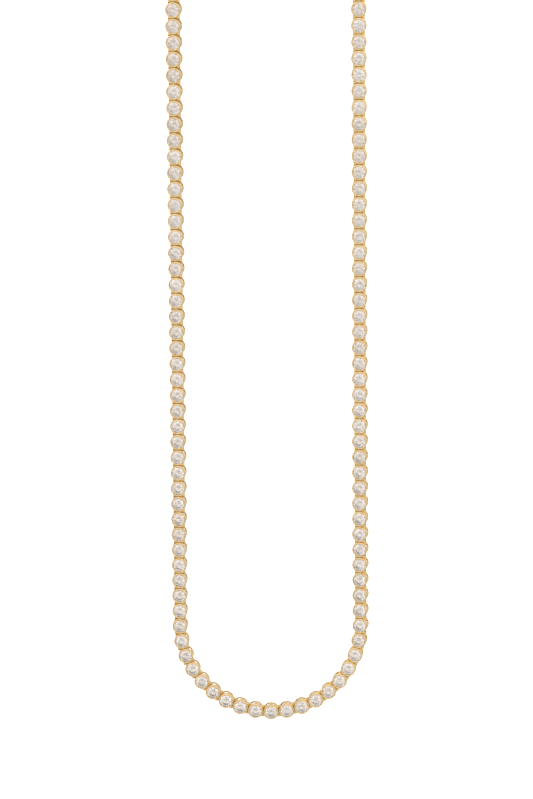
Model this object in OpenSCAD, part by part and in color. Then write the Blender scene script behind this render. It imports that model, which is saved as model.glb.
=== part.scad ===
// Riviere necklace. A closed row of round bezel links, each holding one brilliant-cut stone,
// joined end to end by small pin hinges and closed by a plain clasp behind the neck.
// The loop hangs in the XZ plane with its stones facing -Y. The pins of all the hinges lie in
// the plane y = 0. The origin is where the necklace hangs: the middle of the clasp's inner side.

/* [Stone] */
// Diameter of a stone at its girdle
stone_d = 3.3; // [2.8:0.1:3.8]
// Width of the flat table on top of a stone
table_d = 1.9; // [1.4:0.05:2.2]
// Height of the crown, from the girdle up to the table
crown_h = 0.5; // [0.36:0.02:0.6]
// Depth of the pavilion, from the girdle down to the point
pavilion_h = 1.42; // [1.1:0.02:1.6]
// Turn of each stone in its seat against the stone before it, in degrees
stone_turn = 37; // [0:1:44]

/* [Bezel] */
// Metal of the bezel outside the stone
rim_wall = 0.15; // [0.12:0.01:0.4]
// How far the rim is pressed over the edge of the stone
rim_cover = 0.1; // [0.06:0.01:0.2]
// Thickness of the rim where it ends over the stone
rim_edge = 0.12; // [0.08:0.01:0.2]
// Size of the rounding along the outside of the rim
rim_round = 0.16; // [0.1:0.01:0.22]
// How far the seat reaches in under the stone
seat_ledge = 0.25; // [0.15:0.01:0.35]
// Metal below the seat, down to the open gallery
seat_wall = 0.3; // [0.2:0.02:0.6]

/* [Gallery] */
// How much lower the base ring lies than the play of the hinges needs
base_drop = 0.3; // [0:0.05:0.6]
// Height of the base ring at the back of a link
base_h = 0.35; // [0.25:0.01:0.6]
// Thickness of the base ring, from outside to inside
base_wall = 0.36; // [0.26:0.02:0.5]
// How far the gallery's wall stands back from the base ring, inside and outside
gallery_inset = 0.05; // [0.03:0.01:0.08]
// Width of the post on each side of a link, between bezel and base ring
post_w = 1.1; // [0.4:0.05:1.3]

/* [Hinge] */
// Diameter of the hinge pin
pin_d = 0.3; // [0.2:0.02:0.5]
// How far the pin's riveted ends stand out of the cheeks
pin_proud = 0.04; // [0.02:0.01:0.08]
// Metal round the pin's hole in the tongue
knuckle_wall = 0.18; // [0.12:0.01:0.3]
// Width of the tongue that turns between two cheeks
tongue_w = 1.05; // [0.6:0.05:1.2]
// Width of each cheek that holds the pin
cheek_w = 0.64; // [0.4:0.02:0.7]
// How much flatter the arms of cheeks and tongue are than their round ends, above and below
arm_inset = 0.05; // [0.02:0.01:0.08]

/* [Clearance] */
// Gap between a stone and its bezel
stone_gap = 0.07; // [0.05:0.01:0.12]
// Gap between the rims of two links at the tightest bend of the loop
rim_gap = 0.14; // [0.1:0.01:0.3]
// Play between the moving faces of a hinge
hinge_play = 0.12; // [0.1:0.01:0.2]

/* [Loop] */
// Length right round the necklace, made up to a whole number of links on each side
loop_len = 457; // [400:5:520]
// Links in each quarter turn at the bottom, beside the one in the middle
bottom_links = 8; // [6:1:10]
// Links in each quarter turn at the top, up to the clasp
top_links = 7; // [5:1:9]

/* [Clasp] */
// Length of the clasp from one hinge pin to the other
clasp_len = 8; // [7:0.5:14]
// Width of the clasp's body
clasp_w = 4; // [3.8:0.1:4.8]
// Thickness of the clasp's body
clasp_h = 2.3; // [2:0.1:3]
// Size of the bevel round the clasp's faces
clasp_bevel = 0.25; // [0.1:0.05:0.4]

/* [Hidden] */
$fn = 48;
gold = [0.88, 0.74, 0.47];
crystal = [0.94, 0.90, 0.88];

// How far the links turn outward about the line of the necklace as it hangs. The first column
// is the place as a share of each half, from the clasp at -1 on the left, through the bottom at
// 0, to the clasp at 1 on the right. The second column is the turn in degrees.
face_turn = [
    [-1, 0],
    [-0.8, 8],
    [-0.45, 6],
    [-0.1, 2],
    [0, 0],
    [0.08, -4],
    [0.15, -10],
    [0.25, -11],
    [0.45, -6],
    [0.7, -2],
    [1, 0]
];

// Facets of the stone. Crown and pavilion have this many main facets each. The crown's star
// facets reach star_share of the way from the table to the girdle, and two main facets of the
// pavilion part from each other lower_share of the radius away from the point.
mains = 8;
star_share = 0.5;
lower_share = 0.22;
facet_step = 180 / mains;
girdle_r = stone_d / 2;
table_r = table_d / 2;
star_r = table_r + star_share * (girdle_r - table_r);
star_z = crown_h * (girdle_r - star_r * cos(facet_step)) / (girdle_r - table_r);
lower_r = lower_share * girdle_r;
lower_z = pavilion_h * (1 - lower_share * cos(facet_step));

// Slopes of the stone just above and below its girdle, and what the gap adds along each
upper_slope = star_z / (girdle_r - star_r);
lower_slope = lower_z / (girdle_r - lower_r);
upper_gap = stone_gap * sqrt(1 + upper_slope * upper_slope);
lower_gap = stone_gap * sqrt(1 + lower_slope * lower_slope);

// Radii of the bezel. The rounding of its rim is two flats that meet at corner_share of its size.
corner_share = 0.3;
seat_r = girdle_r + stone_gap;
rim_r = seat_r + rim_wall;
mouth_r = girdle_r - rim_cover;
bore_r = girdle_r - seat_ledge;

// Hinge. The hole is wide enough for the pin when two links bend by the largest turn and by
// a little more, because the sides of the loop lean.
bend_spare = 1;
bottom_step = 90 / (bottom_links + 1);
top_step = 90 / (top_links + 1);
bend_max = max(bottom_step, top_step) + bend_spare;
pin_r = pin_d / 2;
hole_r = pin_r + hinge_play + tongue_w / 2 * sin(bend_max);
knuckle_r = hole_r + knuckle_wall;
arm_r = knuckle_r - arm_inset;
cheek_in = tongue_w / 2 + knuckle_r * sin(bend_max) + hinge_play;
cheek_out = cheek_in + cheek_w;
cheek_sweep = cheek_out + knuckle_r * sin(bend_max) + hinge_play;

// Heights of a link above and below its pins
gallery_z = knuckle_r + hinge_play;
rise_to_girdle = rim_edge + upper_slope * rim_cover + upper_gap;
drop_to_bore = lower_slope * seat_ledge + lower_gap;
rim_h = rise_to_girdle + drop_to_bore + seat_wall;
rim_z = gallery_z + rim_h;
girdle_z = rim_z - rise_to_girdle;
gallery_h = 2 * gallery_z + base_drop;
base_z = gallery_z - gallery_h - base_h;

// Where the row bends, the base rings of links that are turned outward lie nearer to each other
// than their rims. So the base ring is smaller than the rim by as much.
turn_most = max([for (place = face_turn) abs(place[1])]);
base_r = rim_r + base_z * sin(turn_most) * sin(bend_max / 2);
base_bore_r = base_r - base_wall;
gallery_r = base_r - gallery_inset;

// Length of a link from pin to pin
link_len = (2 * rim_r + rim_gap) / cos(bend_max / 2);

// Clasp. Its round ends keep the rim gap to the links beside it.
clasp_r = clasp_w / 2;
clasp_inset = (clasp_r + rim_r + rim_gap) / cos(bend_max / 2) - link_len / 2;

// Depth of the clasp's two pockets from its pins. The wide one takes the cheeks of the last link
// on the right and the narrow one the tongue of the first on the left, with their corners swung in.
wide_pocket = knuckle_r + cheek_out * sin(bend_max) + hinge_play;
narrow_pocket = knuckle_r + tongue_w / 2 * sin(bend_max) + hinge_play;

// Overlap of pieces of one link that are soldered together, and what a cut runs past its solid
solder = 0.1;
overcut = 1;

// Heading of link k of the right half in degrees, counted from the link at the bottom. The
// sides lean by a small angle, found by halving, so that the top arc meets the clasp.
half_links = round(((loop_len - clasp_len) / link_len - 1) / 2);
side_links = half_links - bottom_links - top_links;
lean_most = 20;
halvings = 40;
function heading(k, lean) =
    let (side = 90 + lean)
    k <= bottom_links ? k * side / (bottom_links + 1) :
    k <= bottom_links + side_links ? side :
    side + (k - bottom_links - side_links) * (180 - side) / (top_links + 1);
function sum(list, k = 0) = k < len(list) ? list[k] + sum(list, k + 1) : 0;
function half_width(lean) =
    link_len / 2 + link_len * sum([for (k = [1:half_links]) cos(heading(k, lean))]) - clasp_len / 2;
function closing_lean(low, high, tries) =
    let (middle = (low + high) / 2)
    tries <= 0 ? middle :
    half_width(middle) > 0 ? closing_lean(middle, high, tries - 1) :
    closing_lean(low, middle, tries - 1);
lean = closing_lean(-lean_most, lean_most, halvings);

// Pins of the right half as [x, z], from the one after the bottom link up to the clasp
pins = [
    for (k = 0, pin = [link_len / 2, 0];
         k <= half_links;
         k = k + 1, pin = pin + link_len * [cos(heading(k, lean)), sin(heading(k, lean))])
    pin
];
clasp_z = pins[half_links][1];
hang_z = clasp_z - clasp_r;

// Corners of the stone in rings from the table down to the point, and its facets as triangles
function ring(count, r, z, start) = [
    for (i = [0:count - 1])
    [r * cos(start + i * 360 / count), r * sin(start + i * 360 / count), z]
];
stone_points = concat(
    ring(mains, table_r, crown_h, 0),
    ring(mains, star_r, star_z, facet_step),
    ring(2 * mains, girdle_r, 0, 0),
    ring(mains, lower_r, -lower_z, facet_step),
    [[0, 0, -pavilion_h]]
);
function table(i) = i % mains;
function star(i) = mains + i % mains;
function girdle(i) = 2 * mains + i % (2 * mains);
function lower(i) = 4 * mains + i % mains;
point = 5 * mains;
last = mains - 1;
table_facet = [for (i = [1:last - 1]) [table(0), table(i + 1), table(i)]];
star_facets = [for (i = [0:last]) [table(i), table(i + 1), star(i)]];
crown_mains = [
    for (i = [0:last]) each [[table(i), star(i), girdle(2 * i)], [table(i), girdle(2 * i), star(i + last)]]
];
upper_girdle = [
    for (i = [0:last]) each [
        [star(i), girdle(2 * i + 1), girdle(2 * i)],
        [star(i), girdle(2 * i + 2), girdle(2 * i + 1)]
    ]
];
lower_girdle = [
    for (i = [0:last]) each [
        [lower(i), girdle(2 * i), girdle(2 * i + 1)],
        [lower(i), girdle(2 * i + 1), girdle(2 * i + 2)]
    ]
];
pavilion_mains = [
    for (i = [0:last]) each [[point, lower(i + last), girdle(2 * i)], [point, girdle(2 * i), lower(i)]]
];
stone_faces = concat(table_facet, star_facets, crown_mains, upper_girdle, lower_girdle, pavilion_mains);

module stone(turn) {
    translate([0, 0, girdle_z]) rotate([0, 0, turn]) polyhedron(stone_points, stone_faces);
}

// Bezel: the tube round the stone, with its seat and the rim pressed over the stone's edge
module bezel() {
    rotate_extrude()
        polygon([
            [rim_r, gallery_z],
            [rim_r, rim_z - rim_round],
            [rim_r - corner_share * rim_round, rim_z - corner_share * rim_round],
            [rim_r - rim_round, rim_z],
            [mouth_r, rim_z],
            [mouth_r, rim_z - rim_edge],
            [seat_r, girdle_z + upper_gap - upper_slope * stone_gap],
            [seat_r, girdle_z - lower_gap + lower_slope * stone_gap],
            [bore_r, girdle_z - drop_to_bore],
            [bore_r, gallery_z]
        ]);
}

// Base ring at the back of the link
module base_ring() {
    translate([0, 0, base_z])
        difference() {
            cylinder(r = base_r, h = base_h);
            translate([0, 0, -overcut]) cylinder(r = base_bore_r, h = base_h + 2 * overcut);
        }
}

// Wall of the gallery, cut away but for a post on each side and the roots of the hinges
module gallery() {
    wall_h = gallery_h + 2 * solder;
    translate([0, 0, gallery_z - gallery_h / 2])
        intersection() {
            difference() {
                cylinder(r = gallery_r, h = wall_h, center = true);
                cylinder(r = base_bore_r + gallery_inset, h = wall_h + overcut, center = true);
            }
            union() {
                cube([post_w, 2 * rim_r, wall_h], center = true);
                for (side = [-1, 1])
                    translate([rim_r / 2, side * (cheek_in + cheek_w / 2), 0])
                        cube([rim_r, cheek_w, wall_h], center = true);
                translate([-rim_r / 2, 0, 0]) cube([rim_r, tongue_w, wall_h], center = true);
            }
        }
}

// Two cheeks with the pin between them, at a hinge x from the middle of a link or of the clasp
module cheeks(x, root) {
    for (side = [-1, 1])
        translate([x, side * (cheek_in + cheek_w / 2), 0]) {
            rotate([90, 0, 0]) cylinder(r = knuckle_r, h = cheek_w, center = true);
            translate([-root, -cheek_w / 2, -arm_r]) cube([root, cheek_w, 2 * arm_r]);
        }
    translate([x, 0, 0])
        rotate([90, 0, 0]) cylinder(r = pin_r, h = 2 * (cheek_out + pin_proud), center = true);
}

// The tongue, before its hole, at a hinge x before the middle
module tongue(x, root) {
    translate([-x, 0, 0]) {
        rotate([90, 0, 0]) cylinder(r = knuckle_r, h = tongue_w, center = true);
        translate([0, -tongue_w / 2, -arm_r]) cube([root, tongue_w, 2 * arm_r]);
    }
}

// The hole through the tongue, which the pin of the link before passes
module tongue_hole(x) {
    translate([-x, 0, 0])
        rotate([90, 0, 0]) cylinder(r = hole_r, h = tongue_w + 2 * hinge_play, center = true);
}

// How far a cheek or the tongue, y wide on its side, reaches from its hinge into the gallery's wall
function root_of(y) = link_len / 2 - sqrt(gallery_r * gallery_r - y * y) + solder;

// One link, along X, with its stone's side up. Its pins lie in the plane z = 0.
module link() {
    bezel();
    base_ring();
    cheeks(link_len / 2, root_of(cheek_out));
    difference() {
        union() {
            gallery();
            tongue(link_len / 2, root_of(tongue_w / 2));
        }
        tongue_hole(link_len / 2);
    }
}

// Outline of the clasp's body, shrunk by inset
module clasp_plate(h, inset) {
    for (side = [-1, 1])
        translate([side * (clasp_len / 2 - clasp_inset), 0, 0])
            cylinder(r = clasp_r - inset, h = h, center = true);
    cube([clasp_len - 2 * clasp_inset, 2 * (clasp_r - inset), h], center = true);
}

// The clasp as one plain piece, hinged to a link at each end like any link
module clasp_body() {
    reach = clasp_len / 2;
    difference() {
        union() {
            clasp_plate(clasp_h, clasp_bevel);
            clasp_plate(clasp_h - 2 * clasp_bevel, 0);
        }
        translate([reach, 0, 0]) cube([2 * narrow_pocket, 2 * cheek_in, 2 * gallery_z], center = true);
        translate([-reach, 0, 0]) cube([2 * wide_pocket, 2 * cheek_sweep, 2 * gallery_z], center = true);
    }
    cheeks(reach, narrow_pocket + solder);
    difference() {
        tongue(reach, wide_pocket + solder);
        tongue_hole(reach);
    }
}

// Puts a child at [x, z] of the loop, headed along it and turned outward by turn
module on_loop(place, angle, turn) {
    translate([place[0], 0, place[1] - hang_z])
        rotate([0, -angle, 0])
            rotate([90 + turn, 0, 0])
                children();
}

// Puts a child at link k of the right half, for k from 1 to half_links
module on_right(k) {
    on_loop((pins[k - 1] + pins[k]) / 2, heading(k, lean), lookup(k / half_links, face_turn))
        children();
}

// Puts a child at link k of the left half, for k from 0 at the bottom to half_links. The
// row runs on the same way round, so the left half is headed down.
module on_left(k) {
    middle = k == 0 ? [0, 0] : (pins[k - 1] + pins[k]) / 2;
    on_loop([-middle[0], middle[1]], -heading(k, lean), lookup(-k / half_links, face_turn))
        children();
}

module links_right() {
    color(gold) for (k = [1:half_links]) on_right(k) link();
}

module links_left() {
    color(gold) for (k = [0:half_links]) on_left(k) link();
}

module stones_right() {
    color(crystal) for (k = [1:half_links]) on_right(k) stone(stone_turn * k);
}

module stones_left() {
    color(crystal) for (k = [0:half_links]) on_left(k) stone(-stone_turn * k);
}

module clasp() {
    color(gold) on_loop([0, clasp_z], 180, 0) clasp_body();
}

links_left();
links_right();
clasp();
stones_left();
stones_right();
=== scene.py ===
from math import asin, cos, degrees, pi, radians, sin, sqrt

import bmesh
import bpy
from mathutils import Matrix, Vector


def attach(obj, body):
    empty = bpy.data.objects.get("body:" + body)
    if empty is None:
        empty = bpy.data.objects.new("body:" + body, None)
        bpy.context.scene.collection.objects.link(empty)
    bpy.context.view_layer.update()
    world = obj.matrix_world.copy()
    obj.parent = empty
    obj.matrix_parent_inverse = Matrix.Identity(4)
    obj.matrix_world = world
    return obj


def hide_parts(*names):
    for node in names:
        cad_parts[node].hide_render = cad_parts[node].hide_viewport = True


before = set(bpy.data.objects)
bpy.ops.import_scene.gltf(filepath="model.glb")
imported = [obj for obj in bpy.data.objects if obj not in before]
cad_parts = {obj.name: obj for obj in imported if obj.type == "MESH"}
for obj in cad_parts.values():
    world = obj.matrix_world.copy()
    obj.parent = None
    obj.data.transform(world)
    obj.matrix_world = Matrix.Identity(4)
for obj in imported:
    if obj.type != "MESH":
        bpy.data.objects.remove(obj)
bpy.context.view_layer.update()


# Links of the row
# 115 settings of one size, cast in 14 carat yellow gold, filed and polished. Each is a bezel tube
# on a broad post at each side of a base ring, with two cheeks and a riveted pin at one end and a
# tongue at the other, for the pin of the link before. Lengths are in millimetres.
mm = 0.001
rim_r = 1.856         # outside of the bezel across the row, as polished down
filed_r = 1.938       # and along the row
base_r = 1.83         # outside of the base ring
mouth_r = 1.55        # inner edge of the rim, pressed over the stone
seat_r = 1.72         # tube beside the stone's edge
bore_r = 1.4          # open bore under the stone
gallery_z = 0.681     # top of the open gallery above the line of the pins
base_top = -0.981     # and its bottom, on the base ring
rim_z = 1.585         # top of the rim above the line of the pins
girdle_z = 1.294      # edge of the stone
base_h = 0.34         # height of the base ring
base_wall = 0.345     # and its thickness
root_r = 1.58         # inner side of the posts, and of the cheeks' roots
post_r = 1.79         # outer side of both
link_len = 3.9023     # pin to pin
hinge_x = link_len / 2
knuckle_r = 0.561     # round ends of cheeks and tongue
arm_r = 0.511         # half height of their arms
hole_r = 0.381        # hole in the tongue
pin_r = 0.15
head_r = 0.2          # domed ends of the pin
tongue_w = 1.05
cheek_in = 0.764      # inner face of a cheek, from the middle
cheek_out = 1.404
steps = 40            # sides of the turned parts


def skin(bm, loops, ring=False):
    """Joins loops of as many points each, and closes the ends or joins the last to the first"""
    rows = [[bm.verts.new(Vector(p) * mm) for p in loop] for loop in loops]
    pairs = list(zip(rows, rows[1:]))
    if ring:
        pairs.append((rows[-1], rows[0]))
    else:
        bm.faces.new(reversed(rows[0]))
        bm.faces.new(rows[-1])
    for a, b in pairs:
        for i in range(len(a)):
            j = (i + 1) % len(a)
            bm.faces.new((a[i], a[j], b[j], b[i]))


def turned(bm, profile, sides, axis="z", at=0.0):
    """A turned part: each (radius, height) of its profile once round the axis"""
    loops = []
    for r, h in profile:
        ring = [(r * cos(2 * pi * i / sides), r * sin(2 * pi * i / sides)) for i in range(sides)]
        loops.append([(a, b, h) if axis == "z" else (at + a, h, b) for a, b in ring])
    return loops


def shrunk(outline, by):
    """An anticlockwise outline with each side moved inward"""
    inner = []
    for i, here in enumerate(outline):
        p, a, b = Vector(here), Vector(outline[i - 1]), Vector(outline[(i + 1) % len(outline)])
        d, e = (p - a).normalized(), (b - p).normalized()
        m = Vector((-d.y - e.y, d.x + e.x)) * by / max(0.4, 1 + d.dot(e))
        inner.append(tuple(p + m))
    return inner


def plate(bm, outline_at, low, high, edge):
    """A piece whose outline in x and z goes by its y, from low to high, with its edges broken"""
    cuts = [(shrunk(outline_at(low), edge), low), (outline_at(low), low + edge),
            (outline_at(high), high - edge), (shrunk(outline_at(high), edge), high)]
    skin(bm, [[(x, y, z) for x, z in line] for line, y in cuts])


def arc(x, r, start, end, count):
    """Points round a hinge at x, angles in degrees"""
    angles = [radians(start + (end - start) * i / (count - 1)) for i in range(count)]
    return [(x + r * cos(t), r * sin(t)) for t in angles]


def finished(bm, name, sharp=32):
    """The mesh with faces outward, and smooth but for its sharp edges"""
    bmesh.ops.recalc_face_normals(bm, faces=bm.faces)
    mesh = bpy.data.meshes.new(name)
    bm.to_mesh(mesh)
    bm.free()
    mesh.shade_smooth()
    mesh.set_sharp_from_angle(angle=radians(sharp))
    return mesh


link = bmesh.new()

# bezel: tube, seat, and rim burnished over the stone
rim_round = 0.18
rounding = [radians(a) for a in (22, 45, 68)]
skin(link, turned(link, [
    (rim_r - 0.04, gallery_z), (rim_r, gallery_z + 0.04), (rim_r, rim_z - rim_round),
    *[(rim_r - rim_round * (1 - cos(a)), rim_z - rim_round * (1 - sin(a))) for a in rounding],
    (rim_r - rim_round, rim_z), (mouth_r + 0.06, rim_z - 0.015), (mouth_r + 0.01, rim_z - 0.05),
    (mouth_r, rim_z - 0.12), (seat_r, girdle_z + 0.12), (seat_r, girdle_z - 0.09),
    (bore_r, girdle_z - 0.33), (bore_r, gallery_z + 0.03), (bore_r + 0.03, gallery_z),
], steps), ring=True)

# base ring at the back, a plain wire
top, bottom = base_top, base_top - base_h
inner_r = base_r - base_wall
skin(link, turned(link, [
    (base_r - 0.06, bottom), (base_r, bottom + 0.08), (base_r, top - 0.06), (base_r - 0.05, top),
    (inner_r + 0.05, top), (inner_r, top - 0.06), (inner_r, bottom + 0.08), (inner_r + 0.06, bottom),
], steps), ring=True)

# the outer walls are filed a little longer than wide, so that they close up to each other in the row
outer_wall = 1.75
for v in link.verts:
    if v.co.xy.length > outer_wall * mm:
        v.co.x *= filed_r / rim_r

# a broad post on each side, a little waisted, soldered to bezel and base ring
solder = 0.06
root_z, foot_z = gallery_z + solder, base_top - solder
post_end, post_flare, post_waist = 0.62, 0.56, 0.52
post_edge = 0.06
post_heights = [(foot_z, post_end), (-0.9, post_flare), (-0.65, post_waist),
                (0.35, post_waist), (0.6, post_flare), (root_z, post_end)]
for side in (-1, 1):
    levels = []
    for z, half_w in post_heights:
        across = [(half_w, 1.62), (half_w, 1.76), (half_w - post_edge, post_r), (0, post_r),
                  (post_edge - half_w, post_r), (-half_w, 1.76), (-half_w, 1.62), (0, root_r)]
        levels.append([(x, side * sqrt(r ** 2 - x ** 2), z) for x, r in across])
    skin(link, levels)

# two cheeks, each with its root in the gallery
knuckle_turn = 180 - degrees(asin(arm_r / knuckle_r))
arm_end = hinge_x - sqrt(knuckle_r ** 2 - arm_r ** 2)


def cheek(y):
    """Outline of a cheek; its root follows the ring"""
    near, far = sqrt(root_r ** 2 - y ** 2), sqrt(post_r ** 2 - y ** 2)
    fillet = min(0.1, arm_end - 0.005 - far)
    knuckle = arc(hinge_x, knuckle_r, -knuckle_turn, knuckle_turn, 13)
    return [(near, foot_z), (far, foot_z), (far, -arm_r - 0.1), (far + 0.3 * fillet, -arm_r - 0.03),
            (far + fillet, -arm_r), *knuckle, (far + fillet, arm_r),
            (far + 0.3 * fillet, arm_r + 0.03), (far, arm_r + 0.1), (far, root_z), (near, root_z)]


hinge_edge = 0.035    # broken edges of cheeks and eye
for low, high in ((cheek_in, cheek_out), (-cheek_out, -cheek_in)):
    plate(link, cheek, low, high, hinge_edge)

# pin through the cheeks, its ends spread to small domes
head = [(0.06, 0.04), (0.14, 0.032), (head_r, 0.008), (head_r, -0.02), (pin_r, -0.02)]
rivet = [(r, -cheek_out - h) for r, h in head] + [(r, cheek_out + h) for r, h in reversed(head)]
skin(link, turned(link, rivet, 10, "y", hinge_x))

# tongue: an eye round the next pin, held above and below by an arm from the gallery
half = tongue_w / 2
fine_edge = 0.03      # broken edges of the hole and the arms
eye = [(hole_r + fine_edge, -half), (knuckle_r - hinge_edge, -half), (knuckle_r, hinge_edge - half),
       (knuckle_r, half - hinge_edge), (knuckle_r - hinge_edge, half), (hole_r + fine_edge, half),
       (hole_r, half - fine_edge), (hole_r, fine_edge - half)]
skin(link, turned(link, eye, 20, "y", -hinge_x), ring=True)
for side, end in ((-1, foot_z), (1, root_z)):
    arm = [(-1.51, end), (-1.75, end), (-1.75, side * 0.58), (-post_r, side * arm_r),
           (-hinge_x, side * arm_r), *arc(-hinge_x, 0.46, side * 90, side * 28, 6)]
    plate(link, lambda y: arm, -half, half, fine_edge)

link_mesh = finished(link, "one_link")

# the inside of a link is left as cast and rougher, and painted shade darkens its gold there; its rim,
# walls and hinges are polished bright
# this mask marks the recesses, where the gold material paints shade as a deeper colour
inside = link_mesh.attributes.new("inside", "FLOAT", "POINT")
shaded_cast_r, shaded_cast_z = inner_r + 0.08, girdle_z + 0.2
for v in link_mesh.vertices:
    r, z = sqrt(v.co.x ** 2 + v.co.y ** 2) / mm, v.co.z / mm
    inside.data[v.index].value = 1.0 if r < shaded_cast_r and z < shaded_cast_z else 0.0
one_link = bpy.data.objects.new("one_link", link_mesh)

# Line of the row: one link at the bottom, a round of 8 on each side, 42 up each side, and 7 that
# come in over the top to the clasp. The sides lean until the top meets the clasp.
bottom_links, side_links, top_links = 8, 42, 7
half_links = bottom_links + side_links + top_links
clasp_len, clasp_w = 8.0, 4.0
most_lean, halvings = 20.0, 40


def heading(k, lean):
    """Which way link k of the right side runs, in degrees; 0 is the bottom link's way"""
    side = 90 + lean
    if k <= bottom_links:
        return k * side / (bottom_links + 1)
    past = k - bottom_links - side_links
    return side if past <= 0 else side + past * (180 - side) / (top_links + 1)


low_lean, high_lean = -most_lean, most_lean
for _ in range(halvings):
    lean = (low_lean + high_lean) / 2
    reach = hinge_x + link_len * sum(cos(radians(heading(k, lean))) for k in range(1, half_links + 1))
    if reach > clasp_len / 2:
        low_lean = lean
    else:
        high_lean = lean

pins = [Vector((hinge_x, 0))]
for k in range(1, half_links + 1):
    a = radians(heading(k, lean))
    pins.append(pins[-1] + link_len * Vector((cos(a), sin(a))))
hang_z = pins[-1].y - clasp_w / 2

# how far the links turn outward, in degrees, by their place: from the clasp (-1) down the left side
# to the bottom (0) and up the right side to the clasp (1)
face_turn = [(-1, 0), (-0.8, 8), (-0.45, 6), (-0.1, 2), (0, 0), (0.08, -4), (0.15, -10), (0.25, -11),
             (0.45, -6), (0.7, -2), (1, 0)]


def outward(place):
    """Turn of a link at a place along the row"""
    for (a, turn_a), (b, turn_b) in zip(face_turn, face_turn[1:]):
        if a <= place <= b:
            return turn_a + (turn_b - turn_a) * (place - a) / (b - a)


def row_of_places(name, side):
    """Points at the middles of one side's links, with the way each one faces and its number"""
    middles, facings, numbers = [], [], []
    for k in range(0 if side < 0 else 1, half_links + 1):
        at = (pins[k - 1] + pins[k]) / 2 if k else Vector((0, 0))
        middles.append(Vector((side * at.x, 0, at.y - hang_z)) * mm)
        turned_out = radians(90 + outward(side * k / half_links))
        facings.append((turned_out, -side * radians(heading(k, lean)), 0))
        numbers.append(side * k)
    mesh = bpy.data.meshes.new(name)
    mesh.from_pydata(middles, [], [])
    mesh.attributes.new("facing", "FLOAT_VECTOR", "POINT")
    mesh.attributes.new("number", "FLOAT", "POINT")
    for i in range(len(middles)):
        mesh.attributes["facing"].data[i].vector = facings[i]
        mesh.attributes["number"].data[i].value = numbers[i]
    return mesh


def socket(sockets, name):
    """The socket of that name which the node shows for its present type"""
    return next(s for s in sockets if s.name == name and s.enabled)


# The tree sets one piece at each place of the row. Every link hangs a little differently, as far as
# the play of its hinges lets it, and each stone is turned on from the one before.
stringing = bpy.data.node_groups.new("string_the_row", "GeometryNodeTree")
face = stringing.interface
face.new_socket("Places", in_out="INPUT", socket_type="NodeSocketGeometry")
face.new_socket("Piece", in_out="INPUT", socket_type="NodeSocketObject")
face.new_socket("Finish", in_out="INPUT", socket_type="NodeSocketMaterial")
for title, default in (("Sway", 0.0), ("Side Play", 0.0), ("Turn On", 0.0)):
    face.new_socket(title, in_out="INPUT", socket_type="NodeSocketFloat").default_value = default
face.new_socket("Seed", in_out="INPUT", socket_type="NodeSocketInt").default_value = 7
face.new_socket("Row", in_out="OUTPUT", socket_type="NodeSocketGeometry")
nodes, wires = stringing.nodes, stringing.links
given = nodes.new("NodeGroupInput")
done = nodes.new("NodeGroupOutput")


def random_between(title, seed_step):
    """A random number for each place, from minus the given value to plus it"""
    minus = nodes.new("ShaderNodeMath")
    minus.operation = "MULTIPLY"
    minus.inputs[1].default_value = -1
    wires.new(given.outputs[title], minus.inputs[0])
    seed = nodes.new("ShaderNodeMath")
    seed.inputs[1].default_value = seed_step
    wires.new(given.outputs["Seed"], seed.inputs[0])
    pick = nodes.new("FunctionNodeRandomValue")
    pick.data_type = "FLOAT"
    wires.new(minus.outputs[0], socket(pick.inputs, "Min"))
    wires.new(given.outputs[title], socket(pick.inputs, "Max"))
    wires.new(seed.outputs[0], pick.inputs["Seed"])
    return socket(pick.outputs, "Value")


def named(title, kind):
    """An attribute of the places"""
    node = nodes.new("GeometryNodeInputNamedAttribute")
    node.data_type = kind
    node.inputs["Name"].default_value = title
    return socket(node.outputs, "Attribute")


piece = nodes.new("GeometryNodeObjectInfo")
wires.new(given.outputs["Piece"], piece.inputs["Object"])
setting_out = nodes.new("GeometryNodeInstanceOnPoints")
wires.new(given.outputs["Places"], setting_out.inputs["Points"])
wires.new(piece.outputs["Geometry"], setting_out.inputs["Instance"])
wires.new(named("facing", "FLOAT_VECTOR"), setting_out.inputs["Rotation"])

sideways = nodes.new("ShaderNodeCombineXYZ")
wires.new(random_between("Side Play", 1), sideways.inputs["Y"])
shift = nodes.new("GeometryNodeTranslateInstances")
wires.new(setting_out.outputs["Instances"], shift.inputs["Instances"])
wires.new(sideways.outputs[0], shift.inputs["Translation"])

tilt = nodes.new("ShaderNodeCombineXYZ")
wires.new(random_between("Sway", 2), tilt.inputs["X"])
sway = nodes.new("GeometryNodeRotateInstances")
wires.new(shift.outputs["Instances"], sway.inputs["Instances"])
wires.new(tilt.outputs[0], sway.inputs["Rotation"])

turn_on = nodes.new("ShaderNodeMath")
turn_on.operation = "MULTIPLY"
wires.new(named("number", "FLOAT"), turn_on.inputs[0])
wires.new(given.outputs["Turn On"], turn_on.inputs[1])
about = nodes.new("ShaderNodeCombineXYZ")
wires.new(turn_on.outputs[0], about.inputs["Z"])
spin = nodes.new("GeometryNodeRotateInstances")
wires.new(sway.outputs["Instances"], spin.inputs["Instances"])
wires.new(about.outputs[0], spin.inputs["Rotation"])

own = nodes.new("GeometryNodeStoreNamedAttribute")
own.data_type, own.domain = "FLOAT", "INSTANCE"
own.inputs["Name"].default_value = "own"
chance = nodes.new("FunctionNodeRandomValue")
chance.data_type = "FLOAT"
wires.new(given.outputs["Seed"], chance.inputs["Seed"])
wires.new(socket(chance.outputs, "Value"), socket(own.inputs, "Value"))
wires.new(spin.outputs["Instances"], own.inputs["Geometry"])

real = nodes.new("GeometryNodeRealizeInstances")
wires.new(own.outputs["Geometry"], real.inputs["Geometry"])
coat = nodes.new("GeometryNodeSetMaterial")
wires.new(real.outputs["Geometry"], coat.inputs["Geometry"])
wires.new(given.outputs["Finish"], coat.inputs["Material"])
wires.new(coat.outputs["Geometry"], done.inputs["Row"])


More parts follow.
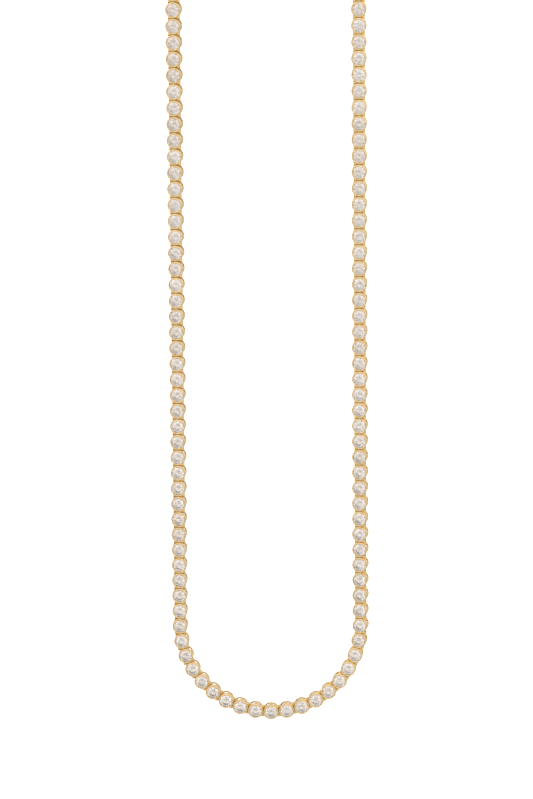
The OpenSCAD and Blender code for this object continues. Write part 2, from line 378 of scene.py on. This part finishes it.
# the play of the hinges lets a link sway by so many degrees and shift by so many millimetres
sway_most, play_most = 0.6, 0.008
seed_left, seed_right = 7, 19


def strung(name, side, piece_object, finish, turn_by=0.0):
    """One side of the row as a plain mesh"""
    work = bpy.data.objects.new(name + "_work", row_of_places(name + "_places", side))
    bpy.context.scene.collection.objects.link(work)
    modifier = work.modifiers.new("row", "NODES")
    modifier.node_group = stringing
    given_sockets = [s for s in face.items_tree if s.item_type == "SOCKET" and s.in_out == "INPUT"]
    keys = {s.name: s.identifier for s in given_sockets}
    modifier[keys["Piece"]] = piece_object
    modifier[keys["Finish"]] = finish
    modifier[keys["Sway"]] = radians(sway_most)
    modifier[keys["Side Play"]] = play_most * mm
    modifier[keys["Turn On"]] = turn_by
    modifier[keys["Seed"]] = seed_left if side < 0 else seed_right
    work.data.update_tag()
    bpy.context.view_layer.update()
    mesh = bpy.data.meshes.new_from_object(work.evaluated_get(bpy.context.evaluated_depsgraph_get()))
    mesh.name = name
    bpy.data.objects.remove(work)
    obj = bpy.data.objects.new(name, mesh)
    bpy.context.scene.collection.objects.link(obj)
    return obj


# Marks of the polishing wheel: fine lines and a soft cloudiness, shared by all that is gold
marks = bpy.data.node_groups.new("polishing_marks", "ShaderNodeTree")
for title, default in (("Line Size", 9000.0), ("Cloud Size", 600.0)):
    size = marks.interface.new_socket(title, in_out="INPUT", socket_type="NodeSocketFloat")
    size.default_value = default
marks.interface.new_socket("Lines", in_out="OUTPUT", socket_type="NodeSocketFloat")
marks.interface.new_socket("Clouds", in_out="OUTPUT", socket_type="NodeSocketFloat")
marks_in, marks_out = marks.nodes.new("NodeGroupInput"), marks.nodes.new("NodeGroupOutput")
where = marks.nodes.new("ShaderNodeTexCoord")
stretch = marks.nodes.new("ShaderNodeMapping")
stretch.inputs["Scale"].default_value = (1.0, 0.16, 0.35)
stretch.inputs["Rotation"].default_value = (0.3, 0.2, 0.5)
lines = marks.nodes.new("ShaderNodeTexNoise")
lines.inputs["Detail"].default_value = 3
clouds = marks.nodes.new("ShaderNodeTexNoise")
clouds.inputs["Detail"].default_value = 2
marks.links.new(where.outputs["Object"], stretch.inputs["Vector"])
marks.links.new(stretch.outputs["Vector"], lines.inputs["Vector"])
marks.links.new(where.outputs["Object"], clouds.inputs["Vector"])
marks.links.new(marks_in.outputs["Line Size"], lines.inputs["Scale"])
marks.links.new(marks_in.outputs["Cloud Size"], clouds.inputs["Scale"])
marks.links.new(lines.outputs["Fac"], marks_out.inputs["Lines"])
marks.links.new(clouds.outputs["Fac"], marks_out.inputs["Clouds"])


def new_finish(name):
    """A material, its nodes and wires, and its shader"""
    material = bpy.data.materials.new(name)
    material.use_nodes = True
    tree = material.node_tree
    return material, tree.nodes, tree.links, tree.nodes["Principled BSDF"]


def spread(nodes, wires, value, low, high):
    """A value from 0 to 1, spread from low to high"""
    node = nodes.new("ShaderNodeMapRange")
    node.inputs["To Min"].default_value = low
    node.inputs["To Max"].default_value = high
    wires.new(value, node.inputs["Value"])
    return node.outputs["Result"]


def attribute(nodes, title):
    """A value that the mesh carries"""
    node = nodes.new("ShaderNodeAttribute")
    node.attribute_name = title
    return node.outputs["Fac"]


def mixed(nodes, wires, share, color, other):
    """One colour where the share is 0, and the other where it is 1"""
    node = nodes.new("ShaderNodeMix")
    node.data_type = "RGBA"
    node.inputs["A"].default_value = (*color, 1)
    node.inputs["B"].default_value = (*other, 1)
    wires.new(share, node.inputs["Factor"])
    return node.outputs["Result"]


# the deeper gold is partly the tone of each piece and partly painted shade in the recesses
bright_gold, deep_and_shaded_gold = (0.84, 0.61, 0.3), (0.76, 0.51, 0.19)


def gold(name, by_piece):
    """Polished 14 carat gold: bright outside, rougher where it is left as cast, and deeper there as
    painted shade
    """
    material, nodes, wires, shader = new_finish(name)
    shader.inputs["Metallic"].default_value = 1.0
    wheel = nodes.new("ShaderNodeGroup")
    wheel.node_tree = marks

    # how much of the deeper gold: by the piece, the clouds of the wheel, and painted shade on the
    # part left as cast
    cloud_part = nodes.new("ShaderNodeMath")
    cloud_part.operation = "MULTIPLY"
    cloud_part.inputs[1].default_value = 0.25
    wires.new(wheel.outputs["Clouds"], cloud_part.inputs[0])
    outside = nodes.new("ShaderNodeMath")
    outside.operation = "MULTIPLY_ADD"
    outside.inputs[1].default_value = by_piece
    wires.new(attribute(nodes, "own"), outside.inputs[0])
    wires.new(cloud_part.outputs[0], outside.inputs[2])
    deeper_and_shaded = nodes.new("ShaderNodeMath")
    deeper_and_shaded.operation = "MULTIPLY_ADD"
    deeper_and_shaded.inputs[1].default_value = 0.5
    deeper_and_shaded.use_clamp = True
    wires.new(attribute(nodes, "inside"), deeper_and_shaded.inputs[0])
    wires.new(outside.outputs[0], deeper_and_shaded.inputs[2])

    color = mixed(nodes, wires, deeper_and_shaded.outputs[0], bright_gold, deep_and_shaded_gold)
    wires.new(color, shader.inputs["Base Color"])
    wires.new(spread(nodes, wires, deeper_and_shaded.outputs[0], 0.2, 0.45), shader.inputs["Roughness"])
    scratches = nodes.new("ShaderNodeBump")
    scratches.inputs["Strength"].default_value = 0.12
    scratches.inputs["Distance"].default_value = 0.02 * mm
    wires.new(wheel.outputs["Lines"], scratches.inputs["Height"])
    wires.new(scratches.outputs["Normal"], shader.inputs["Normal"])
    return material


link_gold = gold("link_gold", 0.2)
for side, node in ((-1, "links_left"), (1, "links_right")):
    row = strung("row_" + node, side, one_link, link_gold)
    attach(row, "root")
    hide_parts(node)


# Stones
# Round brilliants of a colourless stone, 3.3 mm across, cut with 57 facets and polished. Each lies
# on the ledge of its bezel, held by the rim, and is turned a little on from the one before.
stone_r, table_r, crown_h, pavilion_h = 1.65, 0.95, 0.485, 1.42
facets = 8
step = pi / facets
star_r = (stone_r + table_r) / 2
star_z = crown_h * (stone_r - star_r * cos(step)) / (stone_r - table_r)
lower_share = 0.22    # how far out the upper corners of the pavilion's main facets lie
lower_r = lower_share * stone_r
lower_z = -pavilion_h * (1 - lower_share * cos(step))

cut = bmesh.new()


def points(count, r, z, start):
    """One ring of a stone's corners"""
    angles = [start + 2 * pi * i / count for i in range(count)]
    return [cut.verts.new(Vector((r * cos(a), r * sin(a), girdle_z + z)) * mm) for a in angles]


table = points(facets, table_r, crown_h, 0)
star = points(facets, star_r, star_z, step)
girdle = points(2 * facets, stone_r, 0, 0)
lower = points(facets, lower_r, lower_z, step)
point = cut.verts.new(Vector((0, 0, girdle_z - pavilion_h)) * mm)
cut.faces.new(table)
for i in range(facets):
    before, after = star[i - 1], (i + 1) % facets
    left, middle, right = girdle[2 * i], girdle[2 * i + 1], girdle[(2 * i + 2) % (2 * facets)]
    cut.faces.new((table[i], star[i], table[after]))
    cut.faces.new((table[i], before, left, star[i]))
    cut.faces.new((star[i], left, middle))
    cut.faces.new((star[i], middle, right))
    cut.faces.new((lower[i], middle, left))
    cut.faces.new((lower[i], right, middle))
    cut.faces.new((point, lower[i], left, lower[i - 1]))
bmesh.ops.recalc_face_normals(cut, faces=cut.faces)
stone_mesh = bpy.data.meshes.new("one_stone")
cut.to_mesh(stone_mesh)
cut.free()
one_stone = bpy.data.objects.new("one_stone", stone_mesh)

# each stone has a warm tint, a painted reflection of the gold round it that differs a little from
# stone to stone, and a breath of haze that makes its shine uneven
lighter, darker = (0.95, 0.87, 0.8), (0.89, 0.79, 0.69)
crystal, nodes, wires, shader = new_finish("clear_stone")
shader.inputs["Transmission Weight"].default_value = 0.9
shader.inputs["IOR"].default_value = 2.15
tint_and_gold_reflection = mixed(nodes, wires, attribute(nodes, "own"), lighter, darker)
wires.new(tint_and_gold_reflection, shader.inputs["Base Color"])
where = nodes.new("ShaderNodeTexCoord")
breath = nodes.new("ShaderNodeTexNoise")
breath.inputs["Scale"].default_value = 2400
wires.new(where.outputs["Object"], breath.inputs["Vector"])
wires.new(spread(nodes, wires, breath.outputs["Fac"], 0.04, 0.2), shader.inputs["Roughness"])

turn_on_by = radians(37)      # from one stone to the next
for side, node in ((-1, "stones_left"), (1, "stones_right")):
    row = strung("row_" + node, side, one_stone, crystal, turn_on_by)
    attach(row, "root")
    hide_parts(node)


# Clasp
# One plain gold piece behind the neck, with flat faces and round ends, broken edges, and the same
# hinges as the links: a tongue for the last pin of one side and cheeks with a pin for the other.
made = bmesh.new()
made.from_mesh(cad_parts["clasp"].data)
same_place, flat = 0.0005 * mm, radians(1)
bmesh.ops.remove_doubles(made, verts=made.verts, dist=same_place)
bmesh.ops.dissolve_limit(made, angle_limit=flat, verts=made.verts, edges=made.edges)
clasp_mesh = finished(made, "clasp_finished", 40)
clasp = bpy.data.objects.new("clasp_finished", clasp_mesh)
bpy.context.scene.collection.objects.link(clasp)
broken = clasp.modifiers.new("broken_edges", "BEVEL")
broken.width = 0.03 * mm
broken.segments = 2
broken.limit_method = "ANGLE"
broken.angle_limit = radians(40)
clasp_gold = gold("clasp_gold", 0.0)
clasp.data.materials.clear()
clasp.data.materials.append(clasp_gold)
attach(clasp, "root")
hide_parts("clasp")


# Floor and light
# A wide pale floor under the hanging necklace, large soft lamps from the front and above, and a
# white room all round, brightest behind the camera.
floor_mesh = bpy.data.meshes.new("floor")
wide, down = 4.0, -0.26
corners = [(-wide, -wide, down), (wide, -wide, down), (wide, wide, down), (-wide, wide, down)]
floor_mesh.from_pydata(corners, [], [(0, 1, 2, 3)])
floor = bpy.data.objects.new("floor", floor_mesh)
bpy.context.scene.collection.objects.link(floor)
paper, nodes, wires, shader = new_finish("pale_floor")
shader.inputs["Roughness"].default_value = 0.9
tooth = nodes.new("ShaderNodeTexNoise")
tooth.inputs["Scale"].default_value = 60
wires.new(spread(nodes, wires, tooth.outputs["Fac"], 0.7, 0.74), shader.inputs["Base Color"])
seen = nodes.new("ShaderNodeLightPath")
lift = spread(nodes, wires, seen.outputs["Is Camera Ray"], 0.0, 0.75)
wires.new(lift, shader.inputs["Emission Strength"])
shader.inputs["Emission Color"].default_value = (1, 1, 1, 1)
floor_mesh.materials.append(paper)


def lamp(name, place, aim, size, power):
    """A soft square lamp"""
    light = bpy.data.lights.new(name, "AREA")
    light.size = size
    light.energy = power
    obj = bpy.data.objects.new(name, light)
    obj.location = place
    obj.rotation_euler = (Vector(aim) - Vector(place)).to_track_quat("-Z", "Y").to_euler()
    bpy.context.scene.collection.objects.link(obj)


middle = (0, 0, -0.1)
lamp("key", (0.35, -0.5, 0.25), middle, 0.35, 0.15)
lamp("fill", (-0.9, -0.9, 0.9), middle, 0.8, 1.6)
lamp("top", (0.0, 0.2, 1.3), middle, 1.0, 3.0)

# how bright the room is from behind the camera (0) to the far wall (1), and as the camera sees it
room_greys = [(0.0, 1.34), (0.25, 1.2), (0.5, 0.7), (1.0, 0.82)]
room_seen = 0.95
room = bpy.data.worlds.new("white_room")
room.use_nodes = True
nodes, wires = room.node_tree.nodes, room.node_tree.links
way = nodes.new("ShaderNodeTexCoord")
far_wall = nodes.new("ShaderNodeVectorMath")
far_wall.operation = "DOT_PRODUCT"
far_wall.inputs[1].default_value = (-0.35, 0.94, 0)
along = nodes.new("ShaderNodeMapRange")
along.inputs["From Min"].default_value = -1.0
walls = nodes.new("ShaderNodeValToRGB")
walls.color_ramp.interpolation = "EASE"
stops = walls.color_ramp.elements
for place, _ in room_greys[1:-1]:
    stops.new(place)
for stop, (place, grey) in zip(stops, room_greys):
    stop.position, stop.color = place, (grey, grey, grey, 1)
seen = nodes.new("ShaderNodeLightPath")
either = nodes.new("ShaderNodeMix")
either.inputs["B"].default_value = room_seen
wires.new(way.outputs["Generated"], far_wall.inputs[0])
wires.new(far_wall.outputs["Value"], along.inputs["Value"])
wires.new(along.outputs["Result"], walls.inputs["Fac"])
wires.new(seen.outputs["Is Camera Ray"], either.inputs["Factor"])
wires.new(walls.outputs["Color"], either.inputs["A"])
wires.new(either.outputs["Result"], nodes["Background"].inputs["Strength"])
nodes["Background"].inputs["Color"].default_value = (1, 1, 1, 1)
bpy.context.scene.world = room
bpy.context.scene.view_settings.view_transform = "Standard"


# Camera
# A little higher than the clasp, looking down at the loop. The top of the picture cuts both strands
# below the clasp, as in the photograph.
azimuth, elevation, roll = radians(1), radians(13.5), radians(-0.414)
aim, distance = Vector((-0.000609, 0, -0.120621)), 0.8333
back = Vector((sin(azimuth) * cos(elevation), -cos(azimuth) * cos(elevation), sin(elevation)))
right = Vector((cos(azimuth), sin(azimuth), 0))
up = back.cross(right)
across = right * cos(roll) + up * sin(roll)
upward = up * cos(roll) - right * sin(roll)
camera = bpy.data.objects.new("camera", bpy.data.cameras.new("camera"))
camera.data.lens = 154.44
camera.data.sensor_width = 36
camera.data.clip_start = 0.01
camera.data.clip_end = 30
turned_to = Matrix((across, upward, back)).transposed().to_4x4()
turned_to.translation = aim + back * distance
camera.matrix_world = turned_to
bpy.context.scene.collection.objects.link(camera)
bpy.context.scene.camera = camera

bpy.data.objects.remove(one_link)
bpy.data.objects.remove(one_stone)
